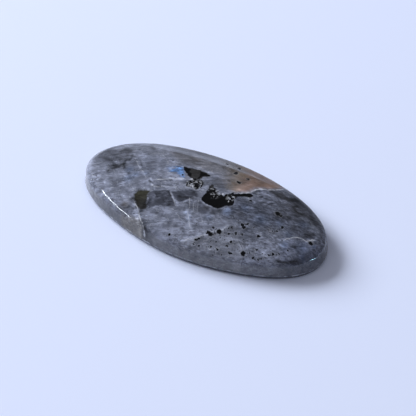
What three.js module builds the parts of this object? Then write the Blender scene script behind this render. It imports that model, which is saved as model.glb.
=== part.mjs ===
// A polished oval cabochon of larvikite, cut from one piece of stone.
// The frame is in millimetres: +X along the oval's length, +Z up, origin at the middle of the flat base.
import * as THREE from "three";

// Driving dimensions
const LENGTH = 40;
const WIDTH = 20;
const THICKNESS = 5.5;
const BASE_BEVEL = 0.35; // the small chamfer ground round the sawn base
const WALL_TOP = 2.15; // height where the girdle wall starts to round over
const WALL_LEAN = 0.22; // how far the wall leans in by then
const SHOULDER_TOP = 3.2; // height where the rounded shoulder becomes the dome
const SHOULDER_INSET = 1.25; // how far in from the girdle that is

// The dome leaves the shoulder at this slope across the width, and is level at its crown.
const DOME_EDGE_SLOPE = 0.55;
const DOME_EDGE_REACH = 2.6; // how far in the edge slope carries, in mm
const DOME_CROWN_REACH = 4.0; // how far out the level crown carries, in mm

// Hand cutting leaves the outline a little off a true oval: lobes round it, depth in mm, place in degrees.
const HAND_CUT = [
  { lobes: 3, depth: 0.06, at: -35 },
  { lobes: 5, depth: 0.07, at: -17 },
  { lobes: 6, depth: 0.05, at: 28 },
];

// Facets
const AROUND = 112;
const SHOULDER_STEPS = 7;
const DOME_STEPS = 15;

const HALF_LENGTH = LENGTH / 2;
const HALF_WIDTH = WIDTH / 2;
const DOME_HALF_WIDTH = HALF_WIDTH - SHOULDER_INSET;

// Half of the section across the width, from the middle of the base to the crown: x is out, y is up.
function halfSection() {
  const baseEdge = new THREE.Vector2(HALF_WIDTH - BASE_BEVEL, 0);
  const girdle = new THREE.Vector2(HALF_WIDTH, BASE_BEVEL);
  const wallTop = new THREE.Vector2(HALF_WIDTH - WALL_LEAN, WALL_TOP);
  const domeEdge = new THREE.Vector2(DOME_HALF_WIDTH, SHOULDER_TOP);
  const crown = new THREE.Vector2(0, THICKNESS);

  // The shoulder's curve is drawn towards the corner where the wall and the dome would meet.
  const shoulderRun = SHOULDER_INSET - WALL_LEAN;
  const corner = new THREE.Vector2(wallTop.x, SHOULDER_TOP - shoulderRun * DOME_EDGE_SLOPE);
  const shoulder = new THREE.QuadraticBezierCurve(wallTop, corner, domeEdge);

  const domeRise = new THREE.Vector2(-DOME_EDGE_REACH, DOME_EDGE_REACH * DOME_EDGE_SLOPE).add(domeEdge);
  const levelCrown = new THREE.Vector2(DOME_CROWN_REACH, THICKNESS);
  const dome = new THREE.CubicBezierCurve(domeEdge, domeRise, levelCrown, crown);

  return [
    new THREE.Vector2(0, 0),
    baseEdge,
    girdle,
    ...shoulder.getPoints(SHOULDER_STEPS),
    ...dome.getPoints(DOME_STEPS).slice(1),
  ];
}

// How far the hand-cut outline stands out from the true oval at an angle.
function handCut(angle) {
  return HAND_CUT.reduce(
    (sum, { lobes, depth, at }) => sum + depth * Math.cos(lobes * (angle - THREE.MathUtils.degToRad(at))),
    0,
  );
}

// Turns a round lathed stone into the oval. The wall and shoulder keep their section all the way round,
// and the dome is drawn out along the length.
function drawOutToOval(geometry) {
  const place = geometry.getAttribute("position");
  const extraLength = HALF_LENGTH - HALF_WIDTH;
  for (let i = 0; i < place.count; i++) {
    const x = place.getX(i);
    const y = place.getY(i);
    const radius = Math.hypot(x, y);
    if (radius === 0) continue;
    const angle = Math.atan2(y, x);
    const onDome = Math.min(radius / DOME_HALF_WIDTH, 1);
    const cut = handCut(angle) * onDome;
    place.setX(i, (radius + extraLength * onDome + cut) * Math.cos(angle));
    place.setY(i, (radius + cut) * Math.sin(angle));
  }
  geometry.computeVertexNormals();
  return geometry;
}

function larvikiteStone() {
  const round = new THREE.LatheGeometry(halfSection(), AROUND);
  round.rotateX(Math.PI / 2);
  const polished = new THREE.MeshStandardMaterial({ color: 0x6c6f79, roughness: 0.12, metalness: 0 });
  const stone = new THREE.Mesh(drawOutToOval(round), polished);
  stone.name = "stone";
  return stone;
}

const cabochon = new THREE.Group();
cabochon.add(larvikiteStone());

export default cabochon;
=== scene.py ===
import math
import random

import bmesh
import bpy
import numpy as np
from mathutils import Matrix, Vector, noise


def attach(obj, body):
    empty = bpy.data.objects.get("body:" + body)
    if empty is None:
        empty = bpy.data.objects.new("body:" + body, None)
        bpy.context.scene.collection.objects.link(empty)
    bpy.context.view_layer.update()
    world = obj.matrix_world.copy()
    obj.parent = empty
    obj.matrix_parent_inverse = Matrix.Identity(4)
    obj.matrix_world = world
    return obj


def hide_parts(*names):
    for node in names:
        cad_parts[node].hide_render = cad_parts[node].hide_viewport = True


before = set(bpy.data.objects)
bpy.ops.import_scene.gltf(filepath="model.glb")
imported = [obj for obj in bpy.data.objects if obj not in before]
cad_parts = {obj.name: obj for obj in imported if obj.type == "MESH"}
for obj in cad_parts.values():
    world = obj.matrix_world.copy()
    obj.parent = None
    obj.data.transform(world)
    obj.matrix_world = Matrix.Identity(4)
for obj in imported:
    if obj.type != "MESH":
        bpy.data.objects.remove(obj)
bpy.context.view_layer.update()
mm = 0.001  # sizes below are in millimetres, and the scene is in metres
print("frame loaded:", sorted(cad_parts))


# The polished blank: an oval cabochon with a low dome, a rounded shoulder and a flat sawn base.
cabochon = {
    "length": 40.0,
    "width": 20.0,
    "thickness": 5.5,
    "bevelOut": 0.22,  # chamfer ground round the base
    "bevelUp": 0.55,
    "wallTop": 2.15,  # where the wall starts to round over
    "wallLean": 0.22,
    "shoulderTop": 3.2,  # where the shoulder becomes the dome
    "shoulderInset": 1.25,
    "domeEdgeSlope": 0.55,
    "domeEdgeReach": 2.6,
    "domeCrownReach": 4.0,
    "handCut": ((3, 0.06, -35), (5, 0.07, -17), (6, 0.05, 28)),  # lobes, depth, place in degrees
    "squaresAlong": 280,
    "squaresAcross": 140,
    "bevelRows": 3,
    "wallRows": 8,
    "shoulderRows": 11,
}


def bezier(points, t):
    rows = [np.asarray(p, float) for p in points]
    t = np.asarray(t, float)[..., None]
    while len(rows) > 1:
        rows = [a + (b - a) * t for a, b in zip(rows, rows[1:])]
    return rows[0]


def girdleSection(c):
    # from the base's edge up the bevel, the wall and the shoulder to the dome's edge, as (out, up)
    half = c["width"] / 2
    baseEdge = (half - c["bevelOut"], 0.0)
    girdle = (half, c["bevelUp"])
    wallTop = (half - c["wallLean"], c["wallTop"])
    domeEdge = (half - c["shoulderInset"], c["shoulderTop"])
    shoulderRun = c["shoulderInset"] - c["wallLean"]
    corner = (wallTop[0], c["shoulderTop"] - shoulderRun * c["domeEdgeSlope"])
    bevel = bezier((baseEdge, girdle), np.linspace(0, 1, c["bevelRows"] + 1))
    wall = bezier((girdle, wallTop), np.linspace(0, 1, c["wallRows"] + 1)[1:])
    shoulder = bezier((wallTop, corner, domeEdge), np.linspace(0, 1, c["shoulderRows"] + 1)[1:])
    return np.vstack((bevel, wall, shoulder))


def domeSection(c, inward):
    # inward is 0 at the dome's edge and 1 at the crown
    edge = np.array((c["width"] / 2 - c["shoulderInset"], c["shoulderTop"]))
    rise = edge + np.array((-1.0, c["domeEdgeSlope"])) * c["domeEdgeReach"]
    return bezier((edge, rise, (c["domeCrownReach"], c["thickness"]), (0.0, c["thickness"])), inward)


def squareBlank(c):
    # a flat grid drawn up into a block: its top becomes the dome, its sides the girdle
    bm = bmesh.new()
    bmesh.ops.create_grid(bm, x_segments=c["squaresAlong"], y_segments=c["squaresAcross"], size=1.0)
    lifted = bmesh.ops.extrude_face_region(bm, geom=bm.faces[:], use_keep_orig=True)
    topVerts = [g for g in lifted["geom"] if isinstance(g, bmesh.types.BMVert)]
    bmesh.ops.translate(bm, vec=(0, 0, 1), verts=topVerts)
    uprights = [e for e in bm.edges if abs(e.verts[0].co.z - e.verts[1].co.z) > 0.5]
    rows = c["bevelRows"] + c["wallRows"] + c["shoulderRows"]
    bmesh.ops.subdivide_edges(bm, edges=uprights, cuts=rows - 1, use_grid_fill=True)
    bmesh.ops.recalc_face_normals(bm, faces=bm.faces[:])
    return bm, rows


def cutToOval(bm, rows, c):
    # square rings of the block become oval rings of the stone
    bm.verts.ensure_lookup_table()
    block = np.array([v.co for v in bm.verts])
    ring = np.maximum(abs(block[:, 0]), abs(block[:, 1]))
    angle = np.arctan2(block[:, 1], block[:, 0])
    height = block[:, 2]

    section = girdleSection(c)[np.rint(height * rows).astype(int)]
    onTop = height > 1 - 0.5 / rows
    onBase = height < 0.5 / rows
    section[onTop] = domeSection(c, 1 - ring[onTop])
    section[onBase, 0] *= ring[onBase]

    out, up = section.T
    domeEdge = c["width"] / 2 - c["shoulderInset"]
    onDome = np.minimum(out / domeEdge, 1)
    cut = onDome * sum(depth * np.cos(lobes * (angle - math.radians(at)))
                       for lobes, depth, at in c["handCut"])
    extra = (c["length"] - c["width"]) / 2
    place = np.column_stack(((out + extra * onDome + cut) * np.cos(angle), (out + cut) * np.sin(angle), up))
    for v, p in zip(bm.verts, place * mm):
        v.co = p
    return bm


# Marks in the stone, as places in millimetres: x along the oval, y across it.
# Dark grains show on the polished side only, between these heights. The base has its own, below its height.
topSide = (1.2, 9.0)
baseHeight = 0.2

blackGrains = {
    "mainGrain": ((0.7, -0.4), (0.8, -1.0), (0.75, -2.35), (1.3, -2.6), (2.0, -2.8), (3.4, -2.85),
                  (4.0, -2.6), (4.3, -2.1), (4.5, -1.7), (5.0, -1.5), (5.4, -1.1), (5.35, -0.4),
                  (5.0, 0.0), (4.6, -0.1), (4.4, -0.4), (4.2, -0.2), (4.1, 0.2), (3.8, 0.45), (3.4, 0.2),
                  (3.3, -0.2), (2.9, 0.05), (2.5, -0.2), (1.9, 0.2), (1.4, 0.1), (1.0, -0.3)),
    "bar": ((4.1, 0.7), (4.6, 1.25), (5.2, 1.6), (5.6, 2.05), (6.0, 2.3), (6.35, 2.6), (6.85, 2.3),
            (6.65, 1.7), (6.0, 1.45), (5.6, 1.05), (4.9, 0.55)),
    "wedge": ((-5.2, 2.6), (-4.5, 2.45), (-3.9, 2.55), (-3.6, 2.0), (-3.15, 1.5), (-2.8, 0.8),
              (-3.2, 0.75), (-3.5, 1.1), (-4.25, 1.6), (-4.8, 2.1)),
    "wedgeTip": ((-2.3, 3.1), (-1.9, 2.7), (-1.2, 2.8), (-0.45, 2.75), (-0.8, 2.3), (-1.4, 2.0),
                 (-1.5, 1.2), (-1.8, 1.0), (-1.9, 1.9), (-2.2, 2.5)),
}
smokyCrystals = {
    "slab": ((-6.9, -4.3), (-6.25, -3.9), (-5.25, -3.5), (-4.2, -3.15), (-3.3, -3.7), (-2.5, -4.25),
             (-1.7, -4.7), (-2.4, -5.1), (-2.8, -5.55), (-3.9, -5.6), (-4.65, -6.05), (-5.3, -6.6),
             (-6.0, -6.4), (-6.4, -5.4)),
    "leaf": ((-3.8, -3.2), (-2.75, -2.3), (-1.8, -1.65), (-1.05, -1.3), (-0.1, -1.7), (0.0, -2.1),
             (-0.5, -2.8), (-1.1, -3.6), (-1.6, -4.35), (-2.4, -4.0)),
    "farBand": ((7.7, 5.2), (8.4, 6.0), (9.7, 6.1), (10.85, 6.0), (11.85, 6.9), (12.6, 7.0), (12.4, 6.05),
                (11.3, 5.1), (10.1, 4.6), (8.95, 4.8)),
}
nearlyBlack = {
    "veil": ((-5.2, 2.6), (-4.5, 2.5), (-3.6, 2.8), (-2.6, 3.1), (-1.8, 2.95), (-1.2, 2.9), (-0.5, 2.75),
             (-0.8, 2.2), (-1.3, 1.85), (-1.25, 1.1), (-1.9, 0.75), (-2.7, 0.7), (-3.4, 1.0),
             (-4.3, 1.6)),
    "spike": ((0.75, -0.3), (0.6, 0.5), (0.65, 1.2), (1.2, 0.75), (2.0, 0.2), (1.4, -0.2)),
}
olivePatch = {
    "patch": ((-8.9, -5.3), (-8.6, -4.5), (-7.6, -4.05), (-6.6, -3.85), (-6.55, -4.8), (-6.2, -5.85),
              (-5.6, -6.65), (-5.9, -7.2), (-6.8, -7.25), (-7.6, -6.9), (-8.5, -6.1)),
}
rustZone = {
    "wedge": ((-1.6, 10.8), (-0.6, 8.0), (0.2, 6.0), (1.0, 4.2), (1.6, 2.4), (2.8, 1.2), (4.6, 1.2),
              (5.6, 2.1), (6.2, 2.9), (6.4, 4.0), (7.0, 4.8), (7.8, 5.3), (8.6, 6.5), (9.0, 7.6),
              (9.6, 10.8)),
}
# painted sheen: the blue schiller flash as a fixed colour patch
paintedBlueSchiller = {
    "paintedSchillerSheen": ((-6.0, 1.7), (-5.2, 2.5), (-4.5, 1.9), (-4.0, 1.1), (-3.6, 0.2), (-4.4, 0.35), (-5.1, 0.8),
              (-6.2, 0.7)),
}
saltedGrains = {
    "cluster": ((-2.8, -0.6), (-2.3, -1.2), (-1.0, -1.0), (-0.3, -0.3), (-0.4, 0.8), (-1.2, 1.1),
                (-2.2, 0.9), (-2.7, 0.3)),
    "grainTop": ((0.8, 0.3), (1.8, 0.5), (2.8, 0.2), (2.9, -1.0), (2.0, -1.4), (1.0, -0.7)),
    "grainEnd": ((3.4, 0.2), (3.9, 0.8), (4.6, 1.2), (5.2, 1.2), (5.3, 0.4), (5.0, -0.6), (4.0, -0.5)),
}
baseGrains = {
    "blot": ((-6.5, 1.5), (-5.6, 2.4), (-4.3, 2.5), (-3.1, 2.0), (-2.7, 0.9), (-4.2, -0.3), (-5.2, 0.4),
             (-6.0, 0.2)),
    "sliver": ((6.6, -3.6), (7.4, -2.7), (9.4, -2.2), (10.3, -2.7), (9.2, -3.3), (8.2, -3.3),
               (7.2, -4.0)),
    "fleck": ((1.0, 5.2), (1.7, 5.9), (2.6, 5.3), (2.1, 4.6), (1.4, 4.5)),
}

# Crystals that are lighter, darker or bluer than the rest, and places lightened or darkened as painted
# light and shade: tint, how soft the edge is, and the outline.
crystalsAndPaintedLight = {
    "smokyLeft": ((0.52, 0.52, 0.52), 0.6,
                  ((-18.8, 1.4), (-17.5, 2.2), (-16.4, 2.1), (-15.8, 3.2), (-14.5, 3.3), (-13.8, 2.2),
                   (-13.2, 1.4), (-13.1, 0.0), (-12.6, -1.2), (-12.5, -1.9), (-13.4, -1.9), (-14.4, -2.4),
                   (-15.3, -2.2), (-16.2, -1.2), (-17.5, -0.9), (-18.8, -0.5))),
    "leftMid": ((0.98, 0.99, 1.01), 1.2,
                ((-13.0, 3.0), (-8.0, 3.0), (-7.4, 1.0), (-8.0, -1.8), (-12.4, -2.0), (-12.8, 0.5))),
    "upperGrey": ((0.7, 0.66, 0.6), 0.9,
                  ((-9.5, 7.5), (-6.0, 10.5), (1.5, 10.5), (2.3, 4.0), (1.5, 1.2), (0.3, 3.2),
                   (-3.0, 3.2), (-6.0, 3.2), (-9.0, 5.0))),
    "upperMid": ((1.25, 1.28, 1.33), 0.8, ((-3.0, 3.6), (1.8, 4.4), (2.2, 3.0), (1.2, 2.4), (-1.0, 3.1))),
    "fan": ((0.58, 0.58, 0.59), 0.15,
            ((-0.9, -2.6), (0.6, -2.5), (1.6, -2.9), (3.3, -3.05), (2.9, -4.3), (1.4, -4.7), (0.3, -4.8),
             (-0.9, -3.6))),
    "lowMid": ((0.88, 0.88, 0.89), 0.3,
               ((-5.0, -8.8), (-3.0, -8.0), (-0.6, -7.1), (1.0, -6.9), (2.4, -8.4), (0.8, -10.4),
                (-4.4, -10.4))),
    "lowRight": ((0.95, 0.94, 0.92), 0.2,
                 ((1.4, -10.4), (1.8, -9.0), (3.3, -8.1), (4.6, -6.9), (5.6, -6.2), (6.6, -4.6),
                  (8.0, -3.8), (10.0, -5.0), (11.0, -8.6), (9.0, -10.4))),
    "rightBody": ((0.68, 0.69, 0.715), 0.25,
                  ((4.6, 0.6), (6.0, 2.3), (6.4, 4.0), (7.2, 5.0), (9.5, 9.6), (21.0, 8.0), (21.0, -8.0),
                   (11.0, -10.4), (10.9, -7.5), (10.2, -6.2), (9.0, -5.6), (7.8, -3.8), (6.6, -3.4),
                   (4.6, -3.2), (5.2, -1.5), (5.4, 0.0))),
    "rightDark": ((0.64, 0.63, 0.62), 1.0,
                  ((9.0, 5.0), (9.5, 9.6), (14.0, 8.0), (20.0, 4.5), (20.0, 2.8), (16.2, 3.2),
                   (13.2, 2.6), (11.4, 3.8))),
    "rightBlue": ((0.8, 0.81, 0.83), 0.9,
                  ((5.4, 0.6), (9.0, 1.6), (13.0, 1.2), (16.0, 1.2), (19.8, 0.8), (19.6, -0.6),
                   (15.6, -0.8), (12.0, -1.6), (8.0, -2.8), (5.4, -2.2))),
    "rightEnd": ((0.9, 0.92, 0.98), 0.5,
                 ((15.3, -1.6), (17.6, -0.6), (20.2, -0.6), (20.0, -4.0), (17.0, -5.2), (15.0, -4.6))),
    "lowerRight": ((1.48, 1.47, 1.44), 0.9,
                   ((10.6, -1.4), (14.5, -0.4), (16.2, -1.4), (17.4, -3.4), (16.0, -6.6), (11.0, -9.6),
                    (11.0, -7.6), (9.6, -5.6), (9.8, -3.2))),
    # painted light: the front band of shoulder and wall, which faces away from the lamp, is lifted
    "paintedLightFrontBand": ((1.28, 1.28, 1.26), 0.7,
                  ((-6.0, -7.8), (-3.0, -7.6), (0.5, -7.2), (4.0, -6.6), (7.0, -5.6), (10.6, -5.4),
                   (13.0, -6.6), (11.0, -9.0), (6.0, -10.8), (-4.0, -10.8))),
    # painted reflection: the left end's rim is lightened as if it mirrored the bright wall
    "paintedReflectionLeftRim": ((1.36, 1.36, 1.36), 1.2,
                ((-21.0, 0.0), (-18.6, -1.6), (-16.2, -3.8), (-13.0, -6.0), (-14.0, -9.0),
                 (-21.0, -6.0))),
    # partly the crystal, partly a painted reflection on the far-left rim
    "leftBackAndPaintedSheen": ((1.16, 1.16, 1.15), 0.8,
                 ((-20.5, 2.5), (-16.4, 3.0), (-14.8, 4.2), (-16.0, 6.5), (-20.5, 5.5))),
    "leftWall": ((0.64, 0.64, 0.64), 0.35,
                 ((-16.5, -6.0), (-12.0, -7.7), (-8.4, -8.9), (-8.4, -10.5), (-17.5, -8.0))),
    # painted light: the wall at the right end, turned away from the lamp, is lightened
    "paintedLightRightWall": ((1.55, 1.53, 1.5), 0.4,
                  ((17.4, -5.2), (19.0, -3.2), (19.8, -1.2), (21.0, -2.0), (19.0, -7.0))),
    "overBand": ((1.5, 1.5, 1.5), 0.3,
                 ((8.4, 6.6), (9.7, 6.5), (10.9, 6.5), (11.6, 7.3), (10.6, 8.8), (9.0, 9.2))),
    # partly a painted reflection: the far-right edge is lightened where its polish is thin
    "rightEdgeAndPaintedSheen": ((1.65, 1.64, 1.62), 0.6,
                  ((12.2, 5.4), (13.6, 5.0), (15.4, 4.4), (17.4, 3.0), (18.8, 2.0), (18.2, 4.4),
                   (15.0, 6.4))),
    # painted shade: the far edge is drawn darker
    "paintedShadeFarEdge": ((0.76, 0.75, 0.725), 0.9,
                ((-14.0, 4.6), (-9.0, 6.2), (-4.0, 6.9), (2.0, 6.6), (8.0, 6.6), (11.5, 5.6), (14.6, 3.8),
                 (17.5, 2.8), (19.6, 3.6), (14.0, 9.0), (5.0, 11.0), (-6.0, 11.0), (-14.5, 8.0))),
    "farLeft": ((0.74, 0.74, 0.75), 0.9,
                ((-9.4, 8.2), (-9.2, 5.6), (-6.8, 4.6), (-5.2, 5.4), (-5.0, 9.6))),
    "rustRoot": ((0.86, 0.81, 0.7), 0.8,
                 ((-1.8, 10.8), (-0.9, 7.0), (1.0, 6.0), (2.4, 5.2), (4.6, 5.4), (5.4, 7.2),
                  (5.2, 10.8))),
    "farCorner": ((0.48, 0.48, 0.48), 0.7,
                  ((10.4, 9.0), (11.0, 6.0), (12.4, 5.4), (14.6, 4.9), (16.4, 5.6), (13.0, 9.0))),
    "behindBar": ((1.3, 1.3, 1.3), 0.6,
                  ((3.4, 4.6), (3.6, 2.0), (4.8, 1.4), (6.2, 2.6), (8.6, 1.9), (9.0, 3.4), (6.6, 5.2))),
    "paleDisc": ((1.35, 1.4, 1.45), 0.15,
                 ((4.6, -2.4), (5.0, -1.7), (5.8, -2.0), (5.9, -3.0), (5.0, -3.3))),
    "tanWall": ((1.02, 0.95, 0.8), 0.4,
                ((-9.0, -8.4), (-5.6, -8.5), (-4.4, -9.7), (-5.0, -10.6), (-9.0, -10.0))),
    "darkWall": ((0.6, 0.6, 0.61), 0.2, ((-5.1, -8.9), (-3.4, -9.3), (-2.0, -10.6), (-4.4, -10.6))),
}

# where the polish is thin: how much is missing, and the outline
dullEdges = (
    (0.8, ((8.6, 11.0), (9.0, 6.6), (12.0, 5.0), (15.0, 3.8), (18.0, 2.4), (21.0, 1.6), (21.0, 6.0),
           (14.0, 10.0))),
    (0.7, ((-14.0, 9.0), (-13.0, 6.0), (-8.0, 7.0), (-2.0, 7.6), (4.0, 7.4), (9.0, 6.8), (9.0, 11.0),
           (-4.0, 11.0))),
)

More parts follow.
